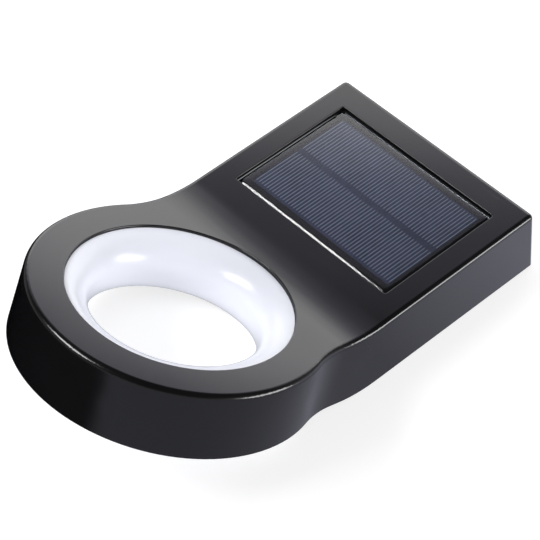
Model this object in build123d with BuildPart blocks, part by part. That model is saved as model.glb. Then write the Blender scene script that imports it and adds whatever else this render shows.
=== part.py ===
from build123d import *
from math import cos, radians, sin, tan
import os

# Solar fence light: a flat plate with the solar panel and, past a gentle bend, a ring with an opal
# tube. The plate's back lies on z = 0, +Y runs from the ring to the plate's far end, and the origin
# is under the middle of the bounding box. All sizes are in millimetres.

os.makedirs("parts", exist_ok=True)

# Body, measured at its back; the sides draw in by the draft towards the front
plate_width = 98.0
plate_length = 90.0  # bend line to the far end
ring_radius = 54.8
ring_overlap = 7.6  # how far the ring's outline runs past the bend line, on to the plate
bend_angle = 19.5
bend_radius = 55.0
neck_radius = 41.0  # concave, where the ring runs into the plate's sides
corner_radius = 2.0
edge_radius = 2.0
draft_angle = 2.4
wall = 2.4

# Opal ring: a hollow bulge into the opening, with a flange against the housing and one on a seal
rim_width = 14.8  # black ring round the opening
rim_recess = 0.9  # opal below the ring's front and back
rim_round = 0.4
rim_gap = 0.2
bulge = 10.3
opal_wall = 1.8
flange_width = 3.0
flange_thickness = 1.2
collar_gap = 0.3
collar_wall = 1.6
collar_height = 3.0

# Solar panel and its pocket
pocket_width = 76.0
pocket_length = 54.0
pocket_depth = 4.2
pocket_margin = 12.2  # pocket to the plate's far end
pocket_floor = 2.0
pocket_radius = 1.0
pocket_round = 0.4
panel_gap = 0.5
pad_thickness = 0.6
board_thickness = 1.2
cell_thickness = 0.25
cell_side_margin = 3.2
cell_end_margin = 3.7
strip_gap = 2.7
strip_offset = 0.8  # the cells' middle from the panel's, towards the far end
resin_recess = 0.9  # resin below the plate's front
resin_radius = 1.3
lead_hole_radius = 3.5
lead_hole_x = 22.0
lead_hole_inset = 12.5  # from the pocket's near edge

# Back cover, its gasket and its screws
cover_thickness = 2.4
cover_gap = 0.2
gasket_thickness = 1.0
gasket_width = 1.2
gasket_gap = 0.3
ledge_width = 1.6
ledge_height = 2.0
screw_radius = 1.1
screw_length = 10.0
screw_hole_radius = 1.6
screw_recess = 2.2
head_radius = 2.3
head_height = 1.7
head_gap = 0.3
thread_gap = 0.05
boss_radius = 3.2
pad_radius = 3.6
pad_height = 1.6
pilot_depth = 12.0
plate_screw_inset = 10.5
plate_screw_near = 22.0  # bend line to the nearer pair
ring_screw_inset = 8.0
ring_screw_angles = (-150, -90, -30, 30, 150)

# Keyholes in the plate's back
keyhole_spacing = 74.0
keyhole_entry_radius = 4.0
keyhole_slot_radius = 2.2
keyhole_travel = 7.0
keyhole_from_end = 28.0
keyhole_clear = 1.0
keyhole_depth = 3.2
keyhole_wall = 1.2

# Ring board
led_board_inset = 5.5  # board's inner edge inside the opening's
led_board_margin = 6.0  # board's edge to the ring's outside
led_board_height = 8.0  # its back over the ring's back
led_from_edge = 3.0  # lamps' middle from the board's inner edge
led_post_inset = 9.0
boss_gap = 0.6
led_count = 20
led_width = 2.8
led_length = 3.5
led_height = 0.8
led_post_radius = 2.0
led_post_count = 6
board_screw_radius = 0.75
board_screw_length = 5.0
board_hole_radius = 1.0
board_head_radius = 1.7
board_head_height = 1.0
seal_thickness = 1.0
seal_gap = 0.1

# Control board
control_width = 62.0
control_length = 24.0
control_thickness = 1.6
control_from_end = 60.0
standoff_radius = 2.5
standoff_spacing_x = 54.0
standoff_spacing_y = 16.0
chip_width = 4.9
chip_length = 3.9
chip_height = 1.5
chip_x = -6.0
coil_radius = 3.0
coil_waist_radius = 2.2
coil_height = 4.2
coil_flange = 1.0
coil_x = 6.0
capacitor_radius = 2.5
capacitor_height = 4.8
capacitor_chamfer = 0.4
capacitor_x = 15.0

# Push switch and its button
switch_size = 8.5
switch_height = 6.5
switch_gap = 0.4  # between the pressed button and the switch
plunger_radius = 1.7
plunger_gap = 0.06
plunger_engagement = 3.0
button_radius = 5.0
button_gap = 0.3
button_recess = 0.6  # face below the plate's back
button_travel = 1.2
button_flange = 2.0
button_round = 0.5
button_flange_height = 0.8
button_flange_gap = 0.1
button_seal_width = 0.8
button_seal_height = 0.9

# Battery and its holder
cell_radius = 7.1
cell_length = 48.5
cell_chamfer = 0.5
nub_radius = 2.6
nub_height = 1.2
cradle_gap = 0.1
holder_base = 1.6
holder_wall = 1.6
holder_rail = 7.0
holder_height = 14.0
contact_thickness = 0.4
contact_width = 9.0
contact_height = 13.0
spring_gap = 2.4
leaf_half = 4.0
battery_from_end = 24.0
battery_headroom = 1.0  # battery to the pocket's floor

# Inner leads
lead_radius = 0.6
lead_pitch = 2.0
lead_run = 3.4
lead_bend = 1.6
led_lead_x = 6.1
led_lead_inset = 3.0
battery_landing_inset = 1.5

# Places that follow from the sizes above
bend_cos = cos(radians(bend_angle))
bend_sin = sin(radians(bend_angle))
draft = tan(radians(draft_angle))
ring_reach = ring_radius - ring_overlap  # bend line to the ring's centre
bend_y = ((ring_reach + ring_radius) * bend_cos - plate_length) / 2
plate_end = bend_y + plate_length
ring_plane = Plane(
    origin=(0, bend_y - ring_reach * bend_cos, ring_reach * bend_sin),
    x_dir=(1, 0, 0),
    z_dir=(0, bend_sin, bend_cos),
)
ring_section = Plane(origin=ring_plane.origin, x_dir=(1, 0, 0), z_dir=(0, -bend_cos, bend_sin))
ring_axis = Axis(ring_plane.origin, ring_plane.z_dir)

battery_y = plate_end - battery_from_end
battery_z = cover_thickness + holder_base + cradle_gap + cell_radius
body_depth = battery_z + cell_radius + battery_headroom + pocket_floor + pocket_depth
front_inside = body_depth - wall
overshoot = body_depth  # how far a cut or a blank runs past the body

boss_base = cover_thickness + pad_height
gasket_top = cover_thickness + gasket_thickness
ledge_base = gasket_top + seal_gap
opening_radius = ring_radius - rim_width
rim_radius = opening_radius - rim_gap
throat_radius = rim_radius - bulge
lip_top = body_depth - rim_recess
flange_radius = opening_radius + flange_width
back_flange = cover_thickness + seal_thickness + seal_gap
hollow_low = back_flange + flange_thickness
hollow_high = front_inside - flange_thickness
collar_radius = flange_radius + collar_gap

panel_width = pocket_width - 2 * panel_gap
panel_length = pocket_length - 2 * panel_gap
pocket_y = plate_end - pocket_margin - pocket_length / 2
pocket_bottom = body_depth - pocket_depth
pad_top = pocket_bottom + pad_thickness
cell_bottom = pad_top + board_thickness
lead_hole = (lead_hole_x, pocket_y - pocket_length / 2 + lead_hole_inset)

led_board_outer = ring_radius - led_board_margin
led_board_inner = opening_radius - led_board_inset
led_ring_radius = led_board_inner + led_from_edge
led_board_top = led_board_height + board_thickness
led_posts = PolarLocations(ring_radius - led_post_inset, led_post_count)

flange_top = cover_thickness + button_flange_gap + button_flange_height
button_seal_outer = button_radius + button_gap + button_seal_width
switch_bottom = flange_top + button_travel + switch_gap
control_height = switch_bottom + switch_height
control_top = control_height + control_thickness
control_y = plate_end - control_from_end
button_spot = (0, control_y)
control_posts = Locations(
    *[
        (x * standoff_spacing_x / 2, control_y + y * standoff_spacing_y / 2)
        for x in (-1, 1)
        for y in (-1, 1)
    ]
)

keyhole_y = plate_end - keyhole_from_end
keyhole_entries = [(side * keyhole_spacing / 2, keyhole_y) for side in (-1, 1)]
keyhole_boxes = [(x, y + keyhole_travel / 2) for x, y in keyhole_entries]
keyhole_box_width = 2 * (keyhole_entry_radius + keyhole_clear + keyhole_wall)
keyhole_box_length = keyhole_box_width + keyhole_travel

cradle_half = cell_radius + cradle_gap
holder_inner = (cell_length + nub_height + spring_gap) / 2 + contact_thickness
cell_start = nub_height + contact_thickness - holder_inner
contact_z = cover_thickness + holder_base + contact_height / 2
leaf_root = holder_inner - contact_thickness

led_lead_y = control_y - control_length / 2 + led_lead_inset
led_landing = led_board_outer - led_lead_inset
battery_lead_x = holder_inner - lead_radius - thread_gap
battery_lead_y = battery_y - contact_width / 2
battery_landing_y = control_y + control_length / 2 - battery_landing_inset

plate_screws = [
    (side * (plate_width / 2 - plate_screw_inset), y)
    for side in (-1, 1)
    for y in (bend_y + plate_screw_near, plate_end - plate_screw_inset)
]
ring_screw_radius = ring_radius - ring_screw_inset
ring_screws = [
    (ring_screw_radius * cos(radians(a)), ring_screw_radius * sin(radians(a))) for a in ring_screw_angles
]


# The body's form from one height to another over the back, drawn in by an inset: a bent slab with a
# drafted end, cut by the ring's and the plate's outline drafted square to the ring
def bent_block(inset, low, high):
    half_turn = tan(radians(bend_angle / 2))
    reach = ring_reach + ring_radius + overshoot

    def bend_point(height):
        return (bend_y + height * half_turn, height)

    def ring_end(height):
        y, z = bend_point(height)
        return (y - reach * bend_cos, z + reach * bend_sin)

    def far_end(height):
        return (plate_end - inset - height * draft, height)

    base_inset = inset - overshoot * draft
    side = plate_width / 2 - base_inset
    far_flare = (plate_length + overshoot) * draft * bend_sin / bend_cos
    near_flare = ring_reach * draft * bend_sin / bend_cos
    far_y = ring_reach + plate_length + overshoot
    with BuildPart() as block:
        with BuildSketch(Plane.YZ):
            with BuildLine():
                FilletPolyline(far_end(low), bend_point(low), ring_end(low), radius=bend_radius)
                Line(ring_end(low), ring_end(high))
                FilletPolyline(ring_end(high), bend_point(high), far_end(high), radius=bend_radius)
                Line(far_end(high), far_end(low))
            make_face()
        extrude(amount=ring_radius + overshoot, both=True)
        with BuildSketch(ring_plane.offset(-overshoot)) as outline:
            Circle(ring_radius - base_inset)
            Polygon(
                (near_flare - side, 0),
                (side - near_flare, 0),
                (side + far_flare, far_y),
                (-side - far_flare, far_y),
                align=None,
            )
            junctions = outline.vertices().group_by(Axis.Y)[-2]
            fillet(junctions, radius=neck_radius + base_inset)
        extrude(amount=plate_length + 2 * overshoot, taper=draft_angle, mode=Mode.INTERSECT)
        far_face = block.faces().sort_by(Axis.Y)[-1]
        corners = far_face.edges() - far_face.edges().filter_by(Axis.X)
        fillet(corners, radius=max(corner_radius - inset, edge_radius / 4))
    return block.part


# Round posts of one height at the cover's screws, on the plate's plane and on the ring's
def at_screws(radius, low, high):
    with BuildPart() as posts:
        with BuildSketch(Plane.XY.offset(low)):
            with Locations(*plate_screws):
                Circle(radius)
        extrude(amount=high - low)
        with BuildSketch(ring_plane.offset(low)):
            with Locations(*ring_screws):
                Circle(radius)
        extrude(amount=high - low)
    return posts.part


# Front housing: the outer shell, with the panel's pocket, the ring's opening and the screw bosses
with BuildPart() as front_housing:
    add(bent_block(0, 0, body_depth))
    front = front_housing.faces().filter_by(lambda f: f.normal_at().Z > bend_cos - 0.1)
    seams = front.edges().filter_by(Axis.X).filter_by_position(Axis.Y, -plate_end, plate_end - wall)
    fillet(front.edges() - seams, radius=edge_radius)
    add(bent_block(wall, -overshoot, front_inside), mode=Mode.SUBTRACT)
    add(bent_block(wall, ledge_base, ledge_base + ledge_height))
    add(bent_block(wall + ledge_width, ledge_base, ledge_base + ledge_height), mode=Mode.SUBTRACT)
    add(at_screws(boss_radius, boss_base, front_inside))
    add(at_screws(screw_radius + thread_gap, boss_base, boss_base + pilot_depth), mode=Mode.SUBTRACT)
    with BuildSketch(Plane.XY.offset(pocket_bottom - pocket_floor)):
        with Locations((0, pocket_y)):
            Rectangle(pocket_width + 2 * wall, pocket_length + 2 * wall)
    extrude(amount=pocket_depth + pocket_floor - wall)
    with BuildSketch(Plane.XY.offset(pocket_bottom)):
        with Locations((0, pocket_y)):
            RectangleRounded(pocket_width, pocket_length, pocket_radius)
    extrude(amount=pocket_depth, mode=Mode.SUBTRACT)
    pocket_rim = front_housing.faces().filter_by(Axis.Z).sort_by(Axis.Z)[-1].inner_wires().edges()
    fillet(pocket_rim, radius=pocket_round)
    with BuildSketch(ring_plane.offset(front_inside - collar_height)):
        Circle(collar_radius + collar_wall)
        Circle(collar_radius, mode=Mode.SUBTRACT)
    extrude(amount=collar_height)
    with BuildSketch(ring_plane.offset(front_inside - wall)):
        Circle(opening_radius)
    extrude(amount=overshoot, mode=Mode.SUBTRACT)
    rims = front_housing.edges().filter_by(GeomType.CIRCLE)
    rims = rims.filter_by(lambda e: abs(e.radius - opening_radius) < rim_gap).sort_by(ring_axis)
    fillet(rims[-1], radius=rim_round)
    with BuildSketch(Plane.XY.offset(pocket_bottom - pocket_floor)):
        with Locations(lead_hole):
            Circle(lead_hole_radius)
    extrude(amount=pocket_floor, mode=Mode.SUBTRACT)
front_housing.part.label = "front_housing"
export_step(front_housing.part, "parts/front_housing.step")

# Back cover: fits inside the housing's wall and carries the boards, the button and the keyholes
with BuildPart() as back_cover:
    add(bent_block(wall + cover_gap, 0, cover_thickness))
    with BuildSketch(ring_plane.offset(cover_thickness)):
        Circle(flange_radius + seal_gap)
    extrude(amount=cover_thickness, mode=Mode.SUBTRACT)
    add(at_screws(pad_radius, cover_thickness, boss_base))
    with BuildSketch(ring_plane.offset(cover_thickness)):
        with led_posts:
            Circle(led_post_radius)
    extrude(amount=led_board_height - cover_thickness)
    with BuildSketch(Plane.XY.offset(cover_thickness)):
        with control_posts:
            Circle(standoff_radius)
    extrude(amount=control_height - cover_thickness)
    with BuildSketch(Plane.XY.offset(cover_thickness)):
        with Locations(*keyhole_boxes):
            Rectangle(keyhole_box_width, keyhole_box_length)
    extrude(amount=keyhole_depth + keyhole_wall)
    with BuildSketch(Plane.XY.offset(cover_thickness)):
        with Locations(*keyhole_boxes):
            Rectangle(keyhole_box_width - 2 * keyhole_wall, keyhole_box_length - 2 * keyhole_wall)
    extrude(amount=keyhole_depth, mode=Mode.SUBTRACT)
    with BuildSketch():
        with Locations(*keyhole_entries):
            Circle(keyhole_entry_radius)
        with Locations(*keyhole_boxes):
            SlotCenterToCenter(keyhole_travel, 2 * keyhole_slot_radius, rotation=90)
    extrude(amount=cover_thickness, mode=Mode.SUBTRACT)
    with BuildSketch(ring_plane.offset(led_board_height - board_screw_length)):
        with led_posts:
            Circle(board_screw_radius + thread_gap)
    extrude(amount=board_screw_length, mode=Mode.SUBTRACT)
    with BuildSketch(Plane.XY.offset(control_height - board_screw_length)):
        with control_posts:
            Circle(board_screw_radius + thread_gap)
    extrude(amount=board_screw_length, mode=Mode.SUBTRACT)
    with BuildSketch(ring_plane.offset(-cover_thickness)):
        Circle(opening_radius)
    extrude(amount=2 * cover_thickness, mode=Mode.SUBTRACT)
    with BuildSketch():
        with Locations(button_spot):
            Circle(button_radius + button_gap)
    extrude(amount=cover_thickness, mode=Mode.SUBTRACT)
    with BuildSketch(Plane.XY.offset(cover_thickness - button_seal_height)):
        with Locations(button_spot):
            Circle(button_seal_outer + seal_gap)
    extrude(amount=button_seal_height, mode=Mode.SUBTRACT)
    add(at_screws(screw_hole_radius, -overshoot, overshoot), mode=Mode.SUBTRACT)
    add(at_screws(head_radius + head_gap, -overshoot, screw_recess), mode=Mode.SUBTRACT)
back_cover.part.label = "back_cover"
export_step(back_cover.part, "parts/back_cover.step")

# Cover gasket: a flat band between the cover and the housing's ledge
with BuildPart() as cover_gasket:
    add(bent_block(wall + gasket_gap, cover_thickness, gasket_top))
    add(bent_block(wall + gasket_gap + gasket_width, cover_thickness, gasket_top), mode=Mode.SUBTRACT)
cover_gasket.part.label = "cover_gasket"
export_step(cover_gasket.part, "parts/cover_gasket.step")

# Opal ring: a hollow bulge between the housing's front and the cover, with a flange to each
with BuildPart() as opal_ring:
    with BuildSketch(ring_section):
        with BuildLine():
            ThreePointArc((rim_radius, rim_recess), (throat_radius, body_depth / 2), (rim_radius, lip_top))
            Polyline(
                (rim_radius, lip_top),
                (rim_radius, front_inside),
                (flange_radius, front_inside),
                (flange_radius, hollow_high),
                (rim_radius, hollow_high),
            )
            ThreePointArc(
                (rim_radius, hollow_high),
                (throat_radius + opal_wall, (hollow_low + hollow_high) / 2),
                (rim_radius, hollow_low),
            )
            Polyline(
                (rim_radius, hollow_low),
                (flange_radius, hollow_low),
                (flange_radius, back_flange),
                (rim_radius, back_flange),
                (rim_radius, rim_recess),
            )
        make_face()
    revolve(axis=ring_axis)
opal_ring.part.label = "opal_ring"
export_step(opal_ring.part, "parts/opal_ring.step")

# Tube seal: a flat rubber ring between the cover and the opal ring's back flange
with BuildPart() as tube_seal:
    with BuildSketch(ring_plane.offset(cover_thickness)):
        Circle(flange_radius)
        Circle(rim_radius + seal_gap, mode=Mode.SUBTRACT)
    extrude(amount=seal_thickness)
tube_seal.part.label = "tube_seal"
export_step(tube_seal.part, "parts/tube_seal.step")

# Cover screws: pan heads sunk in the cover, shanks in the housing's bosses
with BuildPart() as cover_screws:
    add(at_screws(head_radius, screw_recess - head_height, screw_recess))
    add(at_screws(screw_radius, screw_recess, screw_recess + screw_length))
cover_screws.part.label = "cover_screws"
export_step(cover_screws.part, "parts/cover_screws.step")

# Ring board, screwed to the cover's posts and notched round the bosses, with its lamps in the bulge
with BuildPart() as led_board:
    with BuildSketch(ring_plane.offset(led_board_height)):
        Circle(led_board_outer)
        Circle(led_board_inner, mode=Mode.SUBTRACT)
        with Locations(*ring_screws):
            Circle(boss_radius + boss_gap, mode=Mode.SUBTRACT)
        with led_posts:
            Circle(board_hole_radius, mode=Mode.SUBTRACT)
    extrude(amount=board_thickness)
led_board.part.label = "led_board"
export_step(led_board.part, "parts/led_board.step")

with BuildPart() as leds:
    with BuildSketch(ring_plane.offset(led_board_top)):
        with PolarLocations(led_ring_radius, led_count):
            Rectangle(led_width, led_length)
    extrude(amount=led_height)
leds.part.label = "leds"
export_step(leds.part, "parts/leds.step")

# Solar panel: foam pad, black board, two strips of cells and a clear resin cover with round edges
with BuildPart() as panel_pad:
    with BuildSketch(Plane.XY.offset(pocket_bottom)):
        with Locations((0, pocket_y)):
            Rectangle(panel_width, panel_length)
        with Locations(lead_hole):
            Circle(lead_hole_radius, mode=Mode.SUBTRACT)
    extrude(amount=pad_thickness)
panel_pad.part.label = "panel_pad"
export_step(panel_pad.part, "parts/panel_pad.step")

with BuildPart() as panel_board:
    with BuildSketch(Plane.XY.offset(pad_top)):
        with Locations((0, pocket_y)):
            Rectangle(panel_width, panel_length)
    extrude(amount=board_thickness)
panel_board.part.label = "panel_board"
export_step(panel_board.part, "parts/panel_board.step")

with BuildPart() as solar_cells:
    with BuildSketch(Plane.XY.offset(cell_bottom)):
        with Locations((0, pocket_y + strip_offset)):
            Rectangle(panel_width - 2 * cell_side_margin, panel_length - 2 * cell_end_margin)
            Rectangle(panel_width, strip_gap, mode=Mode.SUBTRACT)
    extrude(amount=cell_thickness)
solar_cells.part.label = "solar_cells"
export_step(solar_cells.part, "parts/solar_cells.step")

with BuildPart() as panel_resin:
    with BuildSketch(Plane.XY.offset(cell_bottom)):
        with Locations((0, pocket_y)):
            RectangleRounded(panel_width, panel_length, pocket_radius)
    extrude(amount=body_depth - resin_recess - cell_bottom)
    fillet(panel_resin.faces().sort_by(Axis.Z)[-1].edges(), radius=resin_radius)
    add(solar_cells.part, mode=Mode.SUBTRACT)
panel_resin.part.label = "panel_resin"
export_step(panel_resin.part, "parts/panel_resin.step")

# Control board on the cover's standoffs
with BuildPart() as control_board:
    with BuildSketch(Plane.XY.offset(control_height)):
        with Locations((0, control_y)):
            Rectangle(control_width, control_length)
        with control_posts:
            Circle(board_hole_radius, mode=Mode.SUBTRACT)
    extrude(amount=control_thickness)
control_board.part.label = "control_board"
export_step(control_board.part, "parts/control_board.step")

with BuildPart() as control_chip:
    with BuildSketch(Plane.XY.offset(control_top)):
        with Locations((chip_x, control_y)):
            Rectangle(chip_width, chip_length)
    extrude(amount=chip_height)
control_chip.part.label = "control_chip"
export_step(control_chip.part, "parts/control_chip.step")

# Boost coil: a ferrite drum with a waist of winding
with BuildPart() as boost_coil:
    with BuildSketch(Plane.XY.offset(control_top)):
        with Locations((coil_x, control_y)):
            Circle(coil_radius)
    extrude(amount=coil_height)
    with BuildSketch(Plane.XY.offset(control_top + coil_flange)):
        with Locations((coil_x, control_y)):
            Circle(coil_radius)
            Circle(coil_waist_radius, mode=Mode.SUBTRACT)
    extrude(amount=coil_height - 2 * coil_flange, mode=Mode.SUBTRACT)
boost_coil.part.label = "boost_coil"
export_step(boost_coil.part, "parts/boost_coil.step")

with BuildPart() as capacitor:
    with BuildSketch(Plane.XY.offset(control_top)):
        with Locations((capacitor_x, control_y)):
            Circle(capacitor_radius)
    extrude(amount=capacitor_height)
    chamfer(capacitor.faces().sort_by(Axis.Z)[-1].edges(), length=capacitor_chamfer)
capacitor.part.label = "capacitor"
export_step(capacitor.part, "parts/capacitor.step")

# Small screws of both boards, their shanks in the cover's posts
with BuildPart() as board_screws:
    for plane, top, posts in ((Plane.XY, control_top, control_posts), (ring_plane, led_board_top, led_posts)):
        with BuildSketch(plane.offset(top)):
            with posts:
                Circle(board_head_radius)
        extrude(amount=board_head_height)
        with BuildSketch(plane.offset(top - board_screw_length)):
            with posts:
                Circle(board_screw_radius)
        extrude(amount=board_screw_length)
board_screws.part.label = "board_screws"
export_step(board_screws.part, "parts/board_screws.step")

# Push switch under the control board
with BuildPart() as switch_body:
    with BuildSketch(Plane.XY.offset(switch_bottom)):
        with Locations(button_spot):
            Rectangle(switch_size, switch_size)
    extrude(amount=switch_height)
    with BuildSketch(Plane.XY.offset(switch_bottom)):
        with Locations(button_spot):
            Circle(plunger_radius + plunger_gap)
    extrude(amount=plunger_engagement + button_travel + thread_gap, mode=Mode.SUBTRACT)
switch_body.part.label = "switch_body"
export_step(switch_body.part, "parts/switch_body.step")

with BuildPart() as switch_plunger:
    with BuildSketch(Plane.XY.offset(flange_top)):
        with Locations(button_spot):
            Circle(plunger_radius)
    extrude(amount=switch_bottom + plunger_engagement - flange_top)
switch_plunger.part.label = "switch_plunger"
export_step(switch_plunger.part, "parts/switch_plunger.step")

# Button: a knob in the cover's hole, sunk below the back, with a flange inside
with BuildPart() as power_button:
    with BuildSketch(Plane.XY.offset(button_recess)):
        with Locations(button_spot):
            Circle(button_radius)
    extrude(amount=flange_top - button_recess)
    fillet(power_button.faces().sort_by(Axis.Z)[0].edges(), radius=button_round)
    with BuildSketch(Plane.XY.offset(flange_top - button_flange_height)):
        with Locations(button_spot):
            Circle(button_radius + button_flange)
    extrude(amount=button_flange_height)
power_button.part.label = "power_button"
export_step(power_button.part, "parts/power_button.step")

with BuildPart() as button_seal:
    with BuildSketch(Plane.XY.offset(cover_thickness - button_seal_height)):
        with Locations(button_spot):
            Circle(button_seal_outer)
            Circle(button_radius + 2 * seal_gap, mode=Mode.SUBTRACT)
    extrude(amount=button_seal_height)
button_seal.part.label = "button_seal"
export_step(button_seal.part, "parts/button_seal.step")

# Battery in an open holder on the cover: its nub meets one contact and a bowed leaf the other end
with BuildPart() as battery_holder:
    with BuildSketch(Plane.XY.offset(cover_thickness)):
        with Locations((0, battery_y)):
            Rectangle(2 * (holder_inner + holder_wall), 2 * (cradle_half + holder_wall))
    extrude(amount=holder_height)
    with BuildSketch(Plane.XY.offset(cover_thickness + holder_base)):
        with Locations((0, battery_y)):
            Rectangle(2 * holder_inner, 2 * cradle_half)
    extrude(amount=holder_height, mode=Mode.SUBTRACT)
    with BuildSketch(Plane.XY.offset(cover_thickness + holder_rail)):
        with Locations((0, battery_y)):
            Rectangle(2 * holder_inner, 2 * (cradle_half + holder_wall))
    extrude(amount=holder_height, mode=Mode.SUBTRACT)
battery_holder.part.label = "battery_holder"
export_step(battery_holder.part, "parts/battery_holder.step")

with BuildPart() as battery_cell:
    with BuildSketch(Plane.YZ.offset(cell_start)):
        with Locations((battery_y, battery_z)):
            Circle(cell_radius)
    extrude(amount=cell_length)
    chamfer(battery_cell.edges().filter_by(GeomType.CIRCLE), length=cell_chamfer)
    with BuildSketch(Plane.YZ.offset(cell_start)):
        with Locations((battery_y, battery_z)):
            Circle(nub_radius)
    extrude(amount=-nub_height)
battery_cell.part.label = "battery_cell"
export_step(battery_cell.part, "parts/battery_cell.step")

with BuildPart() as positive_contact:
    with BuildSketch(Plane.YZ.offset(-holder_inner)):
        with Locations((battery_y, contact_z)):
            Rectangle(contact_width, contact_height)
    extrude(amount=contact_thickness)
positive_contact.part.label = "positive_contact"
export_step(positive_contact.part, "parts/positive_contact.step")

with BuildPart() as negative_contact:
    with BuildSketch(Plane.YZ.offset(holder_inner - contact_thickness)):
        with Locations((battery_y, contact_z)):
            Rectangle(contact_width, contact_height)
    extrude(amount=contact_thickness)
    with BuildSketch(Plane.XZ.offset(-battery_y)):
        with BuildLine():
            ThreePointArc(
                (leaf_root, battery_z + leaf_half),
                (leaf_root - spring_gap + contact_thickness, battery_z),
                (leaf_root, battery_z - leaf_half),
            )
        trace(line_width=contact_thickness)
    extrude(amount=contact_width / 4, both=True)
negative_contact.part.label = "negative_contact"
export_step(negative_contact.part, "parts/negative_contact.step")

# Inner leads, two to each node, with rounded bends
def leads(routes):
    with BuildPart() as pair:
        for points in routes:
            with BuildLine() as route:
                FilletPolyline(*points, radius=lead_bend)
            with BuildSketch(Plane(origin=route.line @ 0, z_dir=route.line % 0)):
                Circle(lead_radius)
            sweep(path=route.line)
    return pair.part


with BuildPart() as panel_leads:
    with BuildSketch(Plane.XY.offset(control_top)):
        with Locations(lead_hole):
            with GridLocations(lead_pitch, 0, 2, 1):
                Circle(lead_radius)
    extrude(amount=pad_top - control_top)
panel_leads.part.label = "panel_leads"
export_step(panel_leads.part, "parts/panel_leads.step")

led_leads = leads(
    [
        (x, led_lead_y, control_top),
        (x, led_lead_y, control_top + lead_run),
        tuple(ring_plane.from_local_coords((x, led_landing, led_board_top + lead_run))),
        tuple(ring_plane.from_local_coords((x, led_landing, led_board_top))),
    ]
    for x in (led_lead_x - lead_pitch / 2, led_lead_x + lead_pitch / 2)
)
led_leads.label = "led_leads"
export_step(led_leads, "parts/led_leads.step")

battery_leads = leads(
    [
        (x, battery_lead_y, control_top + lead_run),
        (x, battery_landing_y, control_top + lead_run),
        (x, battery_landing_y, control_top),
    ]
    for x in (-battery_lead_x, battery_lead_x)
)
battery_leads.label = "battery_leads"
export_step(battery_leads, "parts/battery_leads.step")
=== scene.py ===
import math

import bmesh
import bpy
from mathutils import Matrix, Vector


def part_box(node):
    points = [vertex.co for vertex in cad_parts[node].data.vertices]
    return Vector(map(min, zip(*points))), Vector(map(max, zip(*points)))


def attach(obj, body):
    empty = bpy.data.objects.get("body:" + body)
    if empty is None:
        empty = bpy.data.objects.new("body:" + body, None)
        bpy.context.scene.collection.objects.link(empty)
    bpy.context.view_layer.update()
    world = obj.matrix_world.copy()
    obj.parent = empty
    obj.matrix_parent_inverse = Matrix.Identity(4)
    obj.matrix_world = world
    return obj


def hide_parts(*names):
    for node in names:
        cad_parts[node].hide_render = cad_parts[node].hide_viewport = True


# Solar fence light on a white table. Metres, the plate's back on z = 0, +Y from the ring to the far end.

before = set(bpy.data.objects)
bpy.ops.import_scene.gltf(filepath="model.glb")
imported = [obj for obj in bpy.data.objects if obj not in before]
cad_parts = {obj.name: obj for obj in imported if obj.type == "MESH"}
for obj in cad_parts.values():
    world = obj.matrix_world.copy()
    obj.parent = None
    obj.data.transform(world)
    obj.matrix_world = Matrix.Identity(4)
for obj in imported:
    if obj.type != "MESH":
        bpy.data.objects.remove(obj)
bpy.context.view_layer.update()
mm = 0.001
weldDistance = 0.0005 * mm  # points of a CAD mesh nearer than this are one point
print("frame loaded:", len(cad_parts), "nodes")

# Where the ring stands: square to a plane that leans over the plate's
ringPlace = {
    "bend": math.radians(19.5),
    "sealMiddle": 2.9 * mm,  # the tube seal's mid height over the ring's back
}


def ringFrame():
    low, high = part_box("tube_seal")
    lean = ringPlace["bend"]
    side = Vector((1, 0, 0))
    across = Vector((0, math.cos(lean), -math.sin(lean)))
    up = Vector((0, math.sin(lean), math.cos(lean)))
    origin = (low + high) / 2 - up * ringPlace["sealMiddle"]
    return Matrix.Translation(origin) @ Matrix((side, across, up)).transposed().to_4x4()


ring = ringFrame()


# Object helpers
def addObject(name, data):
    added = bpy.data.objects.new(name, data)
    bpy.context.scene.collection.objects.link(added)
    return added


def finishMesh(shape, name):
    mesh = bpy.data.meshes.new(name)
    shape.to_mesh(mesh)
    shape.free()
    return mesh


def evaluatedMesh(source):
    return bpy.data.meshes.new_from_object(source.evaluated_get(bpy.context.evaluated_depsgraph_get()))


def smoothShade(mesh, crease):
    mesh.shade_smooth()
    mesh.set_sharp_from_angle(angle=math.radians(crease))


def seat(piece, slot, body, *nodes):
    if nodes:
        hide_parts(*nodes)
    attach(piece, body)


# Node helpers: an input is a value or another node's socket
nodeSpacing = 180


def addNode(tree, kind, inputs=None, **settings):
    node = tree.nodes.new(kind)
    node.location = (nodeSpacing * len(tree.nodes), 0)
    for key, value in settings.items():
        setattr(node, key, value)
    for key, value in (inputs or {}).items():
        if isinstance(value, bpy.types.NodeSocket):
            tree.links.new(value, node.inputs[key])
        else:
            node.inputs[key].default_value = value
    return node


def calc(tree, operation, first, second=0.0):
    return addNode(tree, "ShaderNodeMath", {0: first, 1: second}, operation=operation).outputs[0]


def blendValue(tree, factor, first, second):
    return addNode(tree, "ShaderNodeMix", {0: factor, 2: first, 3: second}).outputs[0]


def blendColour(tree, factor, first, second):
    mix = {0: factor, 6: first, 7: (*second, 1)}
    return addNode(tree, "ShaderNodeMix", mix, data_type="RGBA").outputs[2]


def ramp(tree, factor, stops):
    node = addNode(tree, "ShaderNodeValToRGB", {"Fac": factor})
    colours = node.color_ramp.elements
    while len(colours) < len(stops):
        colours.new(0.5)
    for element, (position, colour) in zip(colours, stops):
        element.position = position
        element.color = (*colour, 1)
    return node.outputs["Color"]


def clouded(tree, cloud, look):
    darkEnd, lightStart = look.get("cloudRange", (0.35, 0.65))
    return ramp(tree, cloud, [(darkEnd, look["dark"]), (lightStart, look["light"])])


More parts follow.
